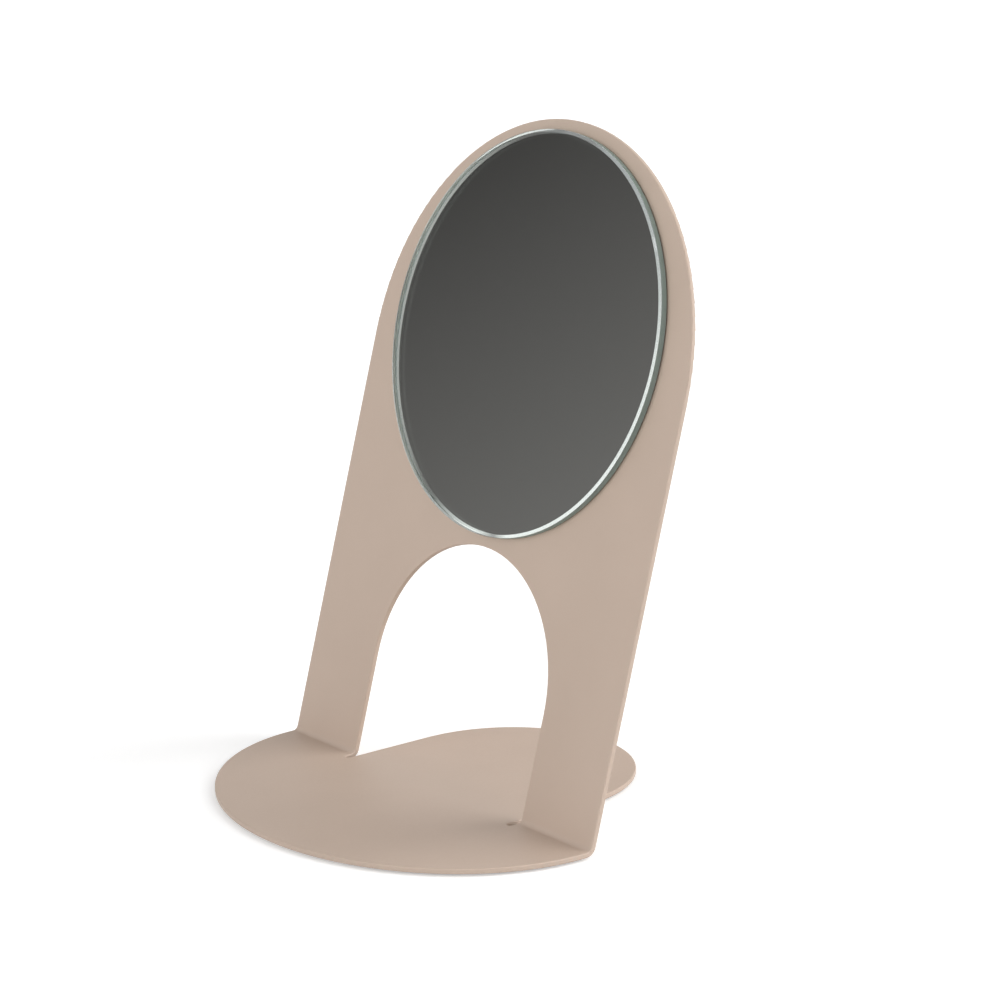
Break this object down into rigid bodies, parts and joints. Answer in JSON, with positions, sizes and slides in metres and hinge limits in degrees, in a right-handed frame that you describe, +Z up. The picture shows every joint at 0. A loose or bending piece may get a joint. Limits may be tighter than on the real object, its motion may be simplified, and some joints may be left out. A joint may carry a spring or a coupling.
{
  "type": "table mirror",
  "caption": "Free-standing table mirror: a round mirror stuck to an arch-topped stand of bent sheet steel, with a base plate that holds a phone against the panel and a tongue as rear foot.",
  "frame": {"origin": "on the table, under the middle of the footprint's box", "axes": "+Z up, the mirror faces -Y, +X to the right of a viewer who looks along +Y at its front"},
  "size_m": [0.18, 0.158, 0.2422],
  "materials": {
    "powder_coat": "satin powder coat, warm beige",
    "glass": "clear float glass with a ground, faintly green edge",
    "silvering": "silvered, painted grey on the back",
    "tape": "matt white foam tape",
    "foot_pad": "matt anti-slip rubber"
  },
  "bodies": {
    "root": {"stand": "powder_coat", "mirror_glass": "glass", "mirror_silvering": "silvering", "mounting_tape_upper": "tape", "mounting_tape_middle": "tape", "mounting_tape_lower": "tape", "foot_pad_front": "foot_pad", "foot_pad_left": "foot_pad", "foot_pad_right": "foot_pad", "foot_pad_rear": "foot_pad"}
  },
  "joints": []
}
